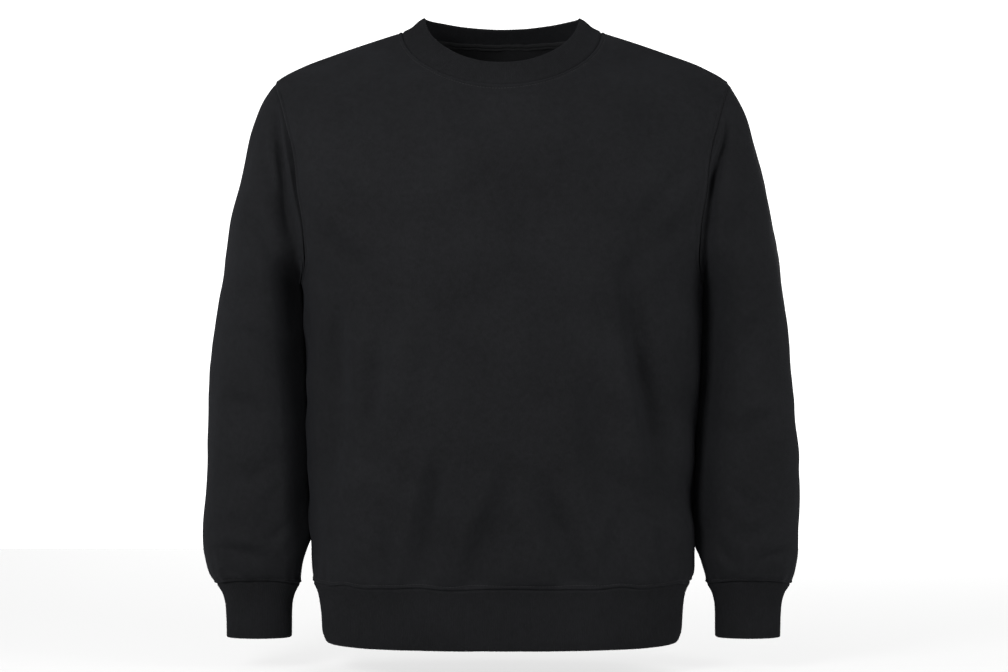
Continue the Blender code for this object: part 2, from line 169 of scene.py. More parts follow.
SLEEVE_RING = "outer_x outer_z inner_x inner_z front_y back_y square"
SLEEVE_ROWS = (
    (258.5, -57.0, 229.0, -285.0, -80.0, 76.0, 2.2),  # armhole
    (272.0, -79.0, 229.8, -290.0, -81.0, 77.0, 2.2),
    (284.0, -110.0, 229.6, -293.0, -82.0, 78.5, 2.2),
    (294.5, -146.0, 229.4, -296.5, -82.5, 80.0, 2.2),
    (303.0, -185.0, 229.0, -300.5, -82.5, 80.5, 2.2),
    (310.2, -226.0, 228.4, -306.0, -82.5, 80.0, 2.2),
    (316.8, -270.0, 226.6, -315.0, -82.0, 79.0, 2.2),
    (323.0, -320.0, 223.8, -335.0, -80.0, 77.0, 2.2),
    (328.5, -372.0, 220.8, -376.0, -77.0, 73.0, 2.2),
    (333.3, -430.0, 218.4, -431.0, -75.0, 66.0, 2.2),  # elbow
    (336.0, -490.0, 217.0, -490.0, -74.0, 55.0, 2.2),
    (336.8, -545.0, 217.4, -545.0, -73.0, 43.0, 2.2),
    (335.4, -585.0, 221.4, -583.0, -70.0, 34.0, 2.3),
    (331.5, -612.0, 227.5, -610.0, -63.0, 27.0, 2.3),
    (326.0, -625.0, 230.6, -625.0, -54.0, 20.0, 2.3),  # cuff seam
)
SLEEVE = table(SLEEVE_RING, *SLEEVE_ROWS)
SLEEVE_LAST = len(SLEEVE_ROWS) - 1.0
CUFF = table(
    SLEEVE_RING,
    SLEEVE_ROWS[-1],
    (318.8, -637.0, 237.3, -637.0, -46.5, 15.5, 2.3),
    (315.6, -650.0, 240.1, -650.0, -43.5, 12.5, 2.3),
    (314.6, -668.0, 240.9, -668.0, -42.0, 11.5, 2.3),
    (314.4, -685.6, 241.0, -685.6, -41.5, 11.0, 2.3),
)
CUFF_SEAM_RISE = 6.0
CUFF_SEAM_ROWS = 2
ARMHOLE_EASING = 5.0
CARRIED_ON = (-0.9, -0.3)
SIDES = {"left": (1, 1.2), "right": (-1, -2.3)}  # which side, and how far the cuff swings out

# Creases: a trough from start to end that bows sideways, with a soft ridge beside it. A positive ridge
# lies to the right of the run from start to end. Sleeve creases are given as on the left sleeve.
CREASE = "start_x start_z end_x end_z bow width depth ridge"
RIDGE_PLACE, RIDGE_WIDTH, RIDGE_SHARE = 1.7, 0.9, 0.45  # against the trough's width and depth
CREASES = {
    "front": table(
        CREASE,
        (134.0, -262.0, 208.0, -556.0, 5.0, 17.0, 19.5, 0.9),
        (120.0, -300.0, 150.0, -420.0, 6.0, 16.0, 4.1, 0.8),
        (90.0, -372.0, 138.0, -560.0, 8.0, 19.0, 7.6, 0.8),
        (-184.0, -262.0, -200.0, -600.0, -6.0, 16.0, 9.4, -0.9),
        (-120.0, -310.0, -160.0, -565.0, 8.0, 21.0, 7.4, -0.7),
        (-84.0, -330.0, -104.0, -480.0, -6.0, 18.0, 3.8, 0.7),
        (-60.0, -455.0, -94.0, -665.0, 5.0, 15.0, 10.4, 0.9),
        (16.0, -480.0, -42.0, -665.0, 5.0, 15.0, 11.0, 1.0),
        (30.0, -480.0, 96.0, -670.0, -6.0, 16.0, 9.4, 0.8),
        (130.0, -538.0, 112.0, -620.0, 2.0, 10.0, 4.1, 0.8),
        (-140.0, -550.0, -122.0, -620.0, -2.0, 10.0, 4.1, 0.8),
        (178.0, -552.0, 188.0, -620.0, 2.0, 9.0, 3.5, 0.8),
        (-214.0, -145.0, -132.0, -252.0, -7.0, 13.0, 6.2, 1.0),
        (214.0, -150.0, 136.0, -262.0, 7.0, 13.0, 4.1, -1.0),
        (-212.0, -225.0, -112.0, -330.0, -9.0, 15.0, 4.9, 0.8),
        (210.0, -222.0, 102.0, -318.0, 9.0, 15.0, 3.8, -0.8),
        (-128.0, -52.0, -196.0, -140.0, 5.0, 17.0, 3.8, 0.6),
        (132.0, -54.0, 190.0, -150.0, -5.0, 17.0, 3.8, 0.6),
        (-66.0, -104.0, 44.0, -146.0, -12.0, 18.0, 3.2, 0.6),
        (-20.0, -190.0, 96.0, -228.0, 14.0, 24.0, 3.5, 0.7),
        (28.0, -270.0, -70.0, -318.0, -12.0, 22.0, 3.5, 0.7),
        (64.0, -300.0, 52.0, -440.0, 10.0, 20.0, 4.1, 0.8),
    ),
    "back": table(
        CREASE,
        (-134.0, -235.0, -182.0, -440.0, -8.0, 20.0, 6.0, 0.9),
        (146.0, -268.0, 192.0, -500.0, 8.0, 18.0, 5.8, 0.9),
        (-176.0, -420.0, -204.0, -590.0, 5.0, 15.0, 4.8, 0.9),
        (96.0, -350.0, 128.0, -540.0, -8.0, 20.0, 3.8, 0.8),
        (-78.0, -320.0, -110.0, -500.0, 7.0, 20.0, 3.4, 0.7),
        (48.0, -470.0, 92.0, -618.0, 5.0, 14.0, 5.2, 0.9),
        (-14.0, -490.0, -50.0, -618.0, -5.0, 13.0, 4.8, 0.9),
        (-92.0, -530.0, -114.0, -620.0, 3.0, 11.0, 3.4, 0.8),
        (150.0, -540.0, 134.0, -620.0, 2.0, 10.0, 3.0, 0.8),
        (136.0, -140.0, -124.0, -168.0, 18.0, 20.0, 4.2, 0.8),
        (-78.0, -200.0, 92.0, -222.0, -14.0, 20.0, 3.0, 0.7),
        (60.0, -268.0, -30.0, -330.0, 12.0, 22.0, 2.6, 0.7),
        (-212.0, -170.0, -116.0, -264.0, -8.0, 13.0, 4.8, 1.0),
        (212.0, -172.0, 112.0, -272.0, 8.0, 13.0, 4.8, -1.0),
        (-204.0, -242.0, -90.0, -348.0, -9.0, 15.0, 3.8, 0.8),
        (204.0, -246.0, 98.0, -338.0, 9.0, 15.0, 3.8, -0.8),
    ),
    "right_front": table(
        CREASE,
        (252.0, -84.0, 222.0, -268.0, -5.0, 7.0, 12.5, 1.0),
        (268.0, -124.0, 232.0, -236.0, -4.0, 7.5, 4.4, 0.9),
        (240.0, -160.0, 231.0, -350.0, 0.0, 13.0, 6.0, 0.3),
        (252.0, -250.0, 243.0, -560.0, 3.0, 12.0, 3.0, 0.5),
        (292.0, -196.0, 236.0, -300.0, 7.0, 10.0, 5.0, 0.8),
        (304.0, -262.0, 250.0, -330.0, 6.0, 11.0, 3.0, 0.7),
        (306.0, -330.0, 240.0, -392.0, 8.0, 12.0, 4.4, 0.8),
        (318.0, -412.0, 240.0, -452.0, 7.0, 12.0, 4.6, 0.8),
        (248.0, -478.0, 314.0, -510.0, 7.0, 12.0, 3.6, 0.8),
        (322.0, -548.0, 262.0, -570.0, 5.0, 9.0, 2.8, 0.8),
        (324.0, -580.0, 244.0, -604.0, 6.0, 7.5, 5.4, 1.0),
        (324.0, -602.0, 290.0, -614.0, 0.0, 5.5, 2.6, 0.8),
        (238.0, -552.0, 268.0, -584.0, 0.0, 7.0, 3.2, 0.8),
    ),
    "left_front": table(
        CREASE,
        (255.0, -98.0, 218.0, -212.0, -4.0, 4.8, 8.6, 1.4),
        (238.0, -100.0, 224.0, -262.0, -2.0, 6.0, 6.0, 0.6),
        (229.0, -140.0, 222.0, -350.0, 0.0, 10.0, 8.6, 0.3),
        (252.0, -230.0, 243.0, -560.0, 3.0, 12.0, 3.0, 0.5),
        (284.0, -182.0, 236.0, -292.0, 7.0, 10.0, 4.6, 0.8),
        (306.0, -318.0, 240.0, -384.0, 8.0, 12.0, 4.2, 0.8),
        (318.0, -430.0, 242.0, -472.0, 7.0, 12.0, 4.4, 0.8),
        (250.0, -506.0, 310.0, -540.0, 7.0, 11.0, 3.4, 0.8),
        (240.0, -566.0, 266.0, -606.0, 3.0, 7.0, 4.2, 0.9),
        (324.0, -582.0, 276.0, -602.0, 3.0, 7.0, 4.0, 0.9),
        (306.0, -550.0, 264.0, -580.0, 3.0, 8.0, 3.0, 0.8),
    ),
    "right_back": table(
        CREASE,
        (256.0, -100.0, 226.0, -258.0, -5.0, 7.5, 6.4, 0.8),
        (276.0, -146.0, 234.0, -262.0, -5.0, 10.0, 4.8, 0.8),
        (302.0, -262.0, 238.0, -340.0, 8.0, 12.0, 4.8, 0.8),
        (326.0, -388.0, 238.0, -428.0, 6.0, 11.0, 6.0, 0.9),
        (324.0, -436.0, 246.0, -458.0, -5.0, 10.0, 4.8, 0.9),
        (242.0, -500.0, 318.0, -538.0, 6.0, 11.0, 4.0, 0.8),
        (322.0, -572.0, 244.0, -604.0, 5.0, 8.0, 4.8, 0.9),
    ),
    "left_back": table(
        CREASE,
        (256.0, -106.0, 226.0, -250.0, -5.0, 7.5, 6.2, 0.8),
        (280.0, -166.0, 236.0, -280.0, -5.0, 11.0, 4.6, 0.8),
        (308.0, -292.0, 238.0, -362.0, 8.0, 12.0, 4.4, 0.8),
        (326.0, -402.0, 240.0, -446.0, 6.0, 11.0, 5.8, 0.9),
        (326.0, -460.0, 250.0, -478.0, -5.0, 9.0, 4.4, 0.9),
        (246.0, -524.0, 320.0, -556.0, 6.0, 11.0, 3.8, 0.8),
        (240.0, -574.0, 306.0, -606.0, 5.0, 8.0, 4.6, 0.9),
    ),
}


# ---- the form ----


def between(rows, place):
    """The row at places between a table's rows, on smooth curves that never overshoot them."""
    place = np.asarray(place, float)
    found = {}
    for name, values in vars(rows).items():
        steps = np.diff(values)
        product = steps[:-1] * steps[1:]
        total = np.where(product > 0, steps[:-1] + steps[1:], 1.0)
        inner = np.where(product > 0, 2 * product / total, 0.0)
        slopes = np.concatenate(([steps[0]], inner, [steps[-1]]))
        index = np.clip(place.astype(int), 0, len(steps) - 1)
        share = place - index
        step, low, high = steps[index], slopes[index], slopes[index + 1]
        bend = low + high - 2 * step
        curve = low + share * (3 * step - 2 * low - high + share * bend)
        found[name] = values[index] + share * curve
    return SimpleNamespace(**found)


def signed_power(value, power):
    return np.sign(value) * np.abs(value) ** power


def rise(value, start, end):
    """0 as far as start, 1 from end on, and smooth between. The end may be the lower of the two."""
    share = np.clip((value - start) / (end - start), 0.0, 1.0)
    return share * share * (3 - 2 * share)


def unit(vectors):
    return vectors / np.maximum(np.linalg.norm(vectors, axis=-1, keepdims=True), 1e-9)


def ring_point(row, angle):
    """A point of a ring around the body: 0 is the centre front and a quarter turn the left side."""
    power = 2 / row.square
    toward_side = signed_power(np.sin(angle), power)
    toward_middle = np.abs(np.cos(angle)) ** power
    front = np.cos(angle) >= 0
    middle_y = np.where(front, row.front_y, row.back_y)
    middle_z = np.where(front, row.front_z, row.back_z)
    fall = np.where(front, row.front_fall, row.back_fall)
    dip = (middle_z - row.side_z) * toward_middle**fall
    return np.stack((row.side_x * toward_side, middle_y * toward_middle, row.side_z + dip), -1)


def body_point(angle, place):
    return ring_point(between(BODY, place), angle)


def normal_of(surface, angle, place, last):
    """Which way a surface of angle and place faces, where its places run from 0 to last."""
    turn = math.radians(0.5)
    step = 0.02
    around = surface(angle + turn, place) - surface(angle - turn, place)
    after = surface(angle, np.minimum(place + step, last))
    before = surface(angle, np.maximum(place - step, 0.0))
    return unit(np.cross(around, after - before))


def body_normal(angle, place):
    return normal_of(body_point, angle, place, float(NECK_ROW))


def panel_place(panel, height, share):
    """Where a panel's grid point lies on the body, as an angle and a place in its rings."""
    angle = share * math.pi / 2
    up = np.clip((height - UNDERARM_ROW) / ARMHOLE_SPAN, 0.0, 1.0)
    cut, square = ARMHOLE_CUT[panel]
    reach = np.maximum(1 - np.abs(np.cos(math.pi * up)) ** square, 0.0) ** (1 / square)
    angle = angle - signed_power(share, CUT_FADE) * cut * reach
    edge_place = UNDERARM_ROW + ARMHOLE_SPAN * (1 - np.cos(math.pi * up)) / 2
    level = UNDERARM_ROW + ARMHOLE_SPAN * up
    place = height + (edge_place - level) * share**2
    return (angle if panel == "front" else math.pi - angle), place


def armhole_point(angle):
    """The armhole's edge and the body's normal there, from the shoulder point at 0 down the front."""
    angle = np.mod(angle, 2 * math.pi)
    in_front = angle <= math.pi
    down = np.where(in_front, angle / math.pi, 2 - angle / math.pi)
    height = SHOULDER_ROW - down * ARMHOLE_SPAN
    front = panel_place("front", height, np.ones_like(height))
    back = panel_place("back", height, np.ones_like(height))
    in_front = in_front[..., None]
    edge = np.where(in_front, body_point(*front), body_point(*back))
    return edge, np.where(in_front, body_normal(*front), body_normal(*back))


def sleeve_ring_point(row, angle):
    """A point of a ring round the left arm: 0 is its outer side and a quarter turn the front."""
    power = 2 / row.square
    outward = signed_power(np.cos(angle), power)
    forward = signed_power(np.sin(angle), power)
    return np.stack(
        (
            (row.outer_x + row.inner_x) / 2 + (row.outer_x - row.inner_x) / 2 * outward,
            (row.front_y + row.back_y) / 2 - (row.back_y - row.front_y) / 2 * forward,
            (row.outer_z + row.inner_z) / 2 + (row.outer_z - row.inner_z) / 2 * outward,
        ),
        -1,
    )


LOWER_PLACES = np.linspace(0, UNDERARM_ROW, 1401)
LOWER_HEIGHTS = between(BODY, LOWER_PLACES).side_z


def beside_body(point):
    """The points themselves, or the nearest ones further out that leave the body clear."""
    height = np.minimum(point[..., 2], BODY.side_z[UNDERARM_ROW])
    row = between(BODY, np.interp(height, LOWER_HEIGHTS, LOWER_PLACES))
    y = point[..., 1]
    depth = np.abs(y / np.where(y < 0, row.front_y, row.back_y))
    side = row.side_x * np.maximum(1 - depth**row.square, 0.0) ** (1 / row.square)
    beside = point.copy()
    beside[..., 0] = np.maximum(point[..., 0], side + SLEEVE_CLEARANCE)
    return beside


def near_cuff(place):
    """Rises from 0 to 1 over the sleeve's last rings."""
    return np.maximum(place - SLEEVE_LAST + CUFF_SEAM_ROWS, 0.0) / CUFF_SEAM_ROWS


def sleeve_point(angle, place):
    """The left sleeve's surface. Its first rings ease from the armhole's curve into plain rings."""
    angle, place = np.broadcast_arrays(angle, place)
    point = sleeve_ring_point(between(SLEEVE, place), angle)
    weight = rise(place, ARMHOLE_EASING, 0.0)[..., None]
    start = sleeve_ring_point(between(SLEEVE, np.zeros_like(place)), angle)
    point = point + weight * (armhole_point(angle)[0] - start)
    point[..., 2] += CUFF_SEAM_RISE * near_cuff(place) ** 2 * np.maximum(np.sin(angle), 0) ** 2
    inner = ((place > 0) & (np.cos(angle) < 0))[..., None]
    return np.where(inner, beside_body(point), point)


def sleeve_normal(angle, place):
    return normal_of(sleeve_point, angle, place, SLEEVE_LAST)


def sleeve_start(angle):
    """The sleeve's edge at the armhole seam, and which way its wall faces there. It carries on from the
    body, apart from the lowest part of the armhole, where it folds back down beside the body."""
    edge, edge_normal = armhole_point(angle)
    turn = math.radians(1)
    seam_line = armhole_point(angle + turn)[0] - armhole_point(angle - turn)[0]
    low, high = CARRIED_ON
    carried_on = np.clip((np.cos(angle) - low) / (high - low), 0, 1)[..., None]
    onward = unit(np.cross(edge_normal, seam_line))
    away = unit(carried_on * onward + (1 - carried_on) * edge_normal)
    own_normal = sleeve_normal(angle, np.zeros_like(angle))
    normal = unit(carried_on * edge_normal + (1 - carried_on) * own_normal)
    return edge + SEAM_GAP * away, normal


def neck_point(angle, place):
    return ring_point(between(NECK_RIB, place), angle)


def hem_point(angle, place):
    return ring_point(between(HEM_BAND, place), angle)


def cuff_point(angle, place):
    point = sleeve_ring_point(between(CUFF, place), angle)
    point[..., 2] += CUFF_SEAM_RISE * np.maximum(1 - place, 0) * np.maximum(np.sin(angle), 0) ** 2
    return point


def neck_seam_normal(angles):
    return body_normal(angles, np.full_like(angles, float(NECK_ROW)))


def hem_seam_normal(angles):
    return body_normal(angles, np.zeros_like(angles))


def cuff_seam_normal(angles):
    return sleeve_normal(angles, np.full_like(angles, SLEEVE_LAST))


# ---- folds, seams and rumples ----


def crease_depth(rows, x, z):
    """How far the creases sink, less how far their ridges rise."""
    total = np.zeros_like(x)
    for i in range(len(rows.depth)):
        run_x = rows.end_x[i] - rows.start_x[i]
        run_z = rows.end_z[i] - rows.start_z[i]
        length = math.hypot(run_x, run_z)
        from_x = x - rows.start_x[i]
        from_z = z - rows.start_z[i]
        along = np.clip((from_x * run_x + from_z * run_z) / length**2, 0, 1)
        bowed = rows.bow[i] * 4 * along * (1 - along)
        across = (from_x * run_z - from_z * run_x) / length - bowed
        width = rows.width[i] * (0.65 + 0.6 * along)  # it widens along its run
        fade = np.sin(math.pi * along**0.85) ** 1.3  # and fades towards both ends
        trough = np.exp(-((across / width) ** 2))
        beside = np.sign(rows.ridge[i]) * RIDGE_PLACE * width
        ridge = np.exp(-(((across - beside) / (RIDGE_WIDTH * width)) ** 2))
        total += rows.depth[i] * fade * (trough - RIDGE_SHARE * abs(rows.ridge[i]) * ridge)
    return total


def rumple(point, seed, wave, size):
    """An uneven rise and fall of about one wavelength, the same on every run."""
    random = np.random.default_rng(seed)
    total = np.zeros(point.shape[:-1])
    for _ in range(WAVES_IN_RUMPLE):
        direction = unit(random.normal(size=3))
        length = wave * random.uniform(0.7, 1.5)
        phase = random.uniform(0, 2 * math.pi)
        total += np.sin(point @ direction * (2 * math.pi / length) + phase)
    return total * size / math.sqrt(WAVES_IN_RUMPLE / 2)


def all_rumples(point, seed):
    return sum(rumple(point, seed + i, wave, size) for i, (wave, size) in enumerate(RUMPLES))


def hem_wave(angle):
    """How the hem seam rises and falls round the body, between the pulls of its stitching."""
    return sum(size * np.sin(count * angle + phase) for size, count, phase in HEM_WAVES)


def no_wave(angle):
    return np.zeros_like(angle)


def tuck(angle, height, from_armhole):
    """How far a sleeve's inner front is drawn back beside the body, by a fold that narrows downwards."""
    turn = np.degrees(angle)
    start = TUCK_START + TUCK_NARROWING * rise(height, -240.0, -500.0)
    beside = rise(turn, start, start + TUCK_RISE) * rise(turn, *TUCK_END)
    along = rise(height, -110.0, -410.0) * rise(height, -602.0, -532.0)
    return TUCK_DEPTH * beside * along * rise(from_armhole, 0.0, 20.0)


def gathers(angle, distance, counts, size):
    """Small puckers that fade away from a seam."""
    total = sum(
        np.sin(count * angle + 1.3 * i + 0.4) / (1 + 0.3 * i) for i, count in enumerate(counts)
    )
    return size * total * np.exp(-distance / GATHER_REACH) * rise(distance, 0.0, 5.0)


def pressed_seam(distance):
    """The relief at a distance from a topstitched seam."""
    return sum(
        height * np.exp(-(((distance - place) / width) ** 2)) for height, place, width in PRESSED_SEAM
    )


def plain_seam(distance):
    """The other side of a seam, where the cloth rounds down into it."""
    return -1.1 * np.exp(-((distance / 1.7) ** 2))


def arc_lengths(points, axis):
    """How far along the grid each point is, in one direction, from its start."""
    gaps = np.linalg.norm(np.diff(points, axis=axis), axis=-1)
    start = np.zeros_like(np.take(gaps, [0], axis=axis))
    return np.concatenate((start, np.cumsum(gaps, axis=axis)), axis=axis)


def distance_to(line, points):
    """How far each point is from a line of closely spaced points."""
    tree = KDTree(len(line))
    for i, place in enumerate(line):
        tree.insert(place, i)
    tree.balance()
    found = np.array([tree.find(point)[2] for point in points.reshape(-1, 3)])
    return found.reshape(points.shape[:-1])


def spread(length, step, near=True, far=True):
    """Shares of a length from 0 to 1, closer together near the ends asked for."""
    low = np.array(EDGE_STEPS if near else (0.0,))
    high = length - np.array(EDGE_STEPS if far else (0.0,))[::-1]
    count = max(int(round((high[0] - low[-1]) / step)), 1)
    middle = np.linspace(low[-1], high[0], count + 1)[1:-1]
    return np.concatenate((low, middle, high)) / length


# ---- meshes ----


def grid_faces(height, width, closed, first=0):
    """Quads over a grid of points numbered row by row."""
    wide = width if closed else width - 1
    rows, columns = np.meshgrid(np.arange(height - 1), np.arange(wide), indexing="ij")
    after = (columns + 1) % width
    low, high = rows * width, (rows + 1) * width
    corners = (low + columns, low + after, high + after, high + columns)
    return np.stack([corner.ravel() + first for corner in corners], -1)


def add_mesh(name, points, faces, cut, materials, slots=None):
    """A smooth mesh from points in millimetres. cut gives each point its place in the flat cloth."""
    data = bpy.data.meshes.new(name)
    data.vertices.add(len(points))
    data.vertices.foreach_set("co", (points * MM).astype(np.float32).ravel())
    data.loops.add(faces.size)
    data.loops.foreach_set("vertex_index", faces.ravel().astype(np.int32))
    data.polygons.add(len(faces))
    data.polygons.foreach_set("loop_start", np.arange(0, faces.size, faces.shape[1], dtype=np.int32))
    for material in materials:
        data.materials.append(material)
    if slots is not None:
        data.polygons.foreach_set("material_index", slots.astype(np.int32))
    data.update(calc_edges=True)
    layer = data.uv_layers.new(name="cut")
    layer.data.foreach_set("uv", (cut[faces.ravel()] * MM).astype(np.float32).ravel())
    data.shade_smooth()
    data.validate()
    made = bpy.data.objects.new(name, data)
    bpy.context.scene.collection.objects.link(made)
    return made


def shell(name, outer, inner, cut, closed, side, materials):
    """A closed wall between two grids. Its inner face takes the second material."""
    height, width = outer.shape[:2]
    count = height * width
    points = np.concatenate((outer.reshape(-1, 3), inner.reshape(-1, 3))) * (side, 1, 1)
    outside = grid_faces(height, width, closed)
    inside = grid_faces(height, width, closed, count)[:, ::-1]
    low = np.arange(width if closed else width - 1)
    low_after = (low + 1) % width
    high, high_after = low + (height - 1) * width, low_after + (height - 1) * width
    rims = [
        np.stack((low_after, low, low + count, low_after + count), -1),
        np.stack((high, high_after, high_after + count, high + count), -1),
    ]
    if not closed:
        up = np.arange(height - 1) * width
        left, left_up = up, up + width
        right, right_up = up + width - 1, up + 2 * width - 1
        rims.append(np.stack((left, left_up, left_up + count, left + count), -1))
        rims.append(np.stack((right_up, right, right + count, right_up + count), -1))
    faces = np.concatenate([outside, inside] + rims)
    if side < 0:
        faces = faces[:, ::-1]
    slots = np.zeros(len(faces))
    slots[len(outside) : 2 * len(outside)] = 1
    cuts = np.concatenate((cut.reshape(-1, 2), cut.reshape(-1, 2)))
    return add_mesh(name, points, faces, cuts, materials, slots)


def stitch_path(points, normals, closed):
    """Stitches along a line of points, as (centre, direction, normal) rows."""
    if closed:
        points = np.concatenate((points, points[:1]))
        normals = np.concatenate((normals, normals[:1]))
    length = arc_lengths(points, 0)
    count = max(int(length[-1] / STITCH_PITCH), 1)
    at = (np.arange(count) + 0.5) / count * length[-1]

    def on_line(values, where):
        return np.stack([np.interp(where, length, values[:, i]) for i in range(3)], -1)

    half = STITCH_LENGTH / 2
    direction = unit(on_line(points, at + half) - on_line(points, at - half))
    return on_line(points, at), direction, unit(on_line(normals, at))


def add_stitches(name, runs, side, material):
    """Short lengths of thread that dip into the cloth at both ends."""
    quads = grid_faces(len(STITCH_PROFILE), THREAD_SIDES, True)
    size = len(STITCH_PROFILE) * THREAD_SIDES
    points, faces = [], []
    first = 0
    for centre, direction, normal in runs:
        across = np.cross(direction, normal)
        rings = []
        for along, thick, lift in STITCH_PROFILE:
            middle = centre + direction * along * STITCH_LENGTH / 2 + normal * lift * THREAD_RADIUS
            for k in range(THREAD_SIDES):
                turn = 2 * math.pi * k / THREAD_SIDES
                reach = across * math.cos(turn) + normal * math.sin(turn)
                rings.append(middle + reach * thick * THREAD_RADIUS)
        points.append(np.stack(rings, 1).reshape(-1, 3))
        starts = first + np.arange(len(centre)) * size
        faces.append((quads[None] + starts[:, None, None]).reshape(-1, 4))
        first += len(centre) * size
    points = np.concatenate(points) * (side, 1, 1)
    faces = np.concatenate(faces)
    return add_mesh(name, points, faces, points[:, :2], [material])


def line_at(distance, points, normals, measure):
    """The line across a grid's rows where the measure reaches a distance, going in from its start."""
    found_points, found_normals = [], []
    for i in range(len(points)):
        place = np.interp(distance, measure[i], np.arange(len(measure[i])))
        index = min(int(place), len(measure[i]) - 2)
        share = place - index
        found_points.append(points[i, index] * (1 - share) + points[i, index + 1] * share)
        found_normals.append(normals[i, index] * (1 - share) + normals[i, index + 1] * share)
    return np.array(found_points), unit(np.array(found_normals))


# ---- the pieces ----


def make_panel(panel, materials):
    """The front or the back. Returns the piece and the runs of its topstitching."""
    front = panel == "front"
    shares = 2 * spread(PANEL_SPREAD, GRID_STEP) - 1
    trial = np.linspace(0, NECK_ROW, 600)
    run = np.full_like(trial, PANEL_RUN if front else math.pi - PANEL_RUN)
    length = arc_lengths(body_point(run, trial), 0)
    heights = np.interp(spread(length[-1], GRID_STEP) * length[-1], length, trial)
    height, share = np.meshgrid(heights, shares, indexing="ij")
    angle, place = panel_place(panel, height, share)
    base = body_point(angle, place)
    base[..., 1] += -SEAM_GAP / 2 if front else SEAM_GAP / 2
    normal = body_normal(angle, place)
    across = arc_lengths(base, 1)
    from_hem = arc_lengths(base, 0)
    from_neck = from_hem[-1:] - from_hem
    half_turn = np.linspace(0, math.pi, 1500)
    armhole = armhole_point(half_turn if front else -half_turn)[0]
    from_armhole = distance_to(np.concatenate((armhole, armhole * (-1, 1, 1))), base)
    below = np.linspace(0, UNDERARM_ROW, 900)
    above = np.linspace(SHOULDER_ROW, NECK_ROW, 500)
    seam_places = np.concatenate((below, above))
    seams = body_point(np.full_like(seam_places, math.pi / 2), seam_places)
    from_seam = distance_to(np.concatenate((seams, seams * (-1, 1, 1))), base)
    from_side = np.minimum(from_armhole, from_seam)
    plain = 0.6 * plain_seam(from_seam)
    relief = np.where(from_armhole < from_seam, pressed_seam(from_armhole), plain)
    relief += pressed_seam(from_neck) + pressed_seam(from_hem)
    free = rise(from_side, 0.0, CALM_BESIDE_SEAM) * rise(from_neck, 0.0, CALM_BESIDE_SEAM)
    free *= rise(from_hem, 0.0, CALM_BESIDE_RIB)
    bulk = all_rumples(base, SEEDS[panel])
    bulk -= crease_depth(CREASES[panel], base[..., 0], base[..., 2])
    puckers = gathers(angle, from_hem, HEM_GATHERS, 0.5)
    relief += free * bulk + puckers * rise(from_side, 0.0, 8.0)
    outer = base + relief[..., None] * normal
    outer[..., 2] += hem_wave(angle) * np.exp(-from_hem / WAVE_REACH)
    inner = outer - CLOTH_WALL * normal
    cut = np.stack((across - across[:, -1:] / 2, from_hem), -1)
    piece = shell(f"{panel}_panel", outer, inner, cut, False, 1, materials)
    if not front:
        piece.data.flip_normals()
    beside = (heights >= UNDERARM_ROW + 0.2) & (heights <= SHOULDER_ROW)
    from_left = outer[beside], normal[beside], from_armhole[beside]
    up = [grid.swapaxes(0, 1) for grid in (outer, normal, from_hem)]
    down = [grid[::-1].swapaxes(0, 1) for grid in (outer, normal, from_neck)]
    lines = (from_left, [grid[:, ::-1] for grid in from_left], up, down)
    return piece, [stitch_path(*line_at(STITCH_LINE, *line), False) for line in lines]


def make_sleeve(side_name, materials):
    """A sleeve as one tube. Returns the piece and the run of its topstitching."""
    side, sway = SIDES[side_name]
    trial = np.linspace(0, SLEEVE_LAST, 600)
    length = arc_lengths(sleeve_point(np.full_like(trial, math.pi / 2), trial), 0)
    places = np.interp(spread(length[-1], GRID_STEP) * length[-1], length, trial)
    angles = np.arange(SLEEVE_COLUMNS) / SLEEVE_COLUMNS * 2 * math.pi
    place, angle = np.meshgrid(places, angles, indexing="ij")
    outward = np.cos(angle)
    base = sleeve_point(angle, place)
    normal = sleeve_normal(angle, place)
    base[:1], start_normal = sleeve_start(angle[:1])
    ease = rise(place, 0.6, 0.0)[..., None]
    normal = unit(ease * start_normal + (1 - ease) * normal)
    from_armhole = arc_lengths(base, 0)
    from_cuff = from_armhole[-1:] - from_armhole
    around = arc_lengths(np.concatenate((base, base[:, :1]), 1), 1)[:, :-1]
    x, z = base[..., 0], base[..., 2]
    forward = rise(np.sin(angle), -0.15, 0.15)
    folds = forward * crease_depth(CREASES[f"{side_name}_front"], x, z)
    folds += (1 - forward) * crease_depth(CREASES[f"{side_name}_back"], x, z)
    bulk = SLEEVE_RUMPLES * all_rumples(base, SEEDS[side_name]) - folds
    free = rise(from_armhole, 1.0, 10.0) * rise(from_cuff, 0.0, CALM_BESIDE_RIB)
    against_body = rise(outward, -0.8, -0.96) * rise(z, -590.0, -530.0)
    relief = plain_seam(from_armhole) * rise(outward, -1.0, -0.6) + pressed_seam(from_cuff)
    relief += free * (1 - CALMED_BESIDE_BODY * against_body) * bulk
    relief += gathers(angle, from_cuff, CUFF_GATHERS, 0.7)
    outer = base + relief[..., None] * normal
    drawn_back = tuck(angle, z, from_armhole)
    outer[..., 1] += drawn_back
    outer[..., 0] -= TUCK_INWARD * drawn_back * rise(outward, -0.6, -1.0)
    inward = ((outward < 0) & (place > 0))[..., None]
    outer = np.where(inward, beside_body(outer), outer)
    outer[..., 0] += sway * near_cuff(place)
    inner = outer - CLOTH_WALL * normal
    cut = np.stack((around, -from_armhole), -1)
    piece = shell(f"sleeve_{side_name}", outer, inner, cut, True, side, materials)
    up = [grid[::-1].swapaxes(0, 1) for grid in (outer, normal, from_cuff)]
    return piece, [stitch_path(*line_at(STITCH_LINE, *up), True)]


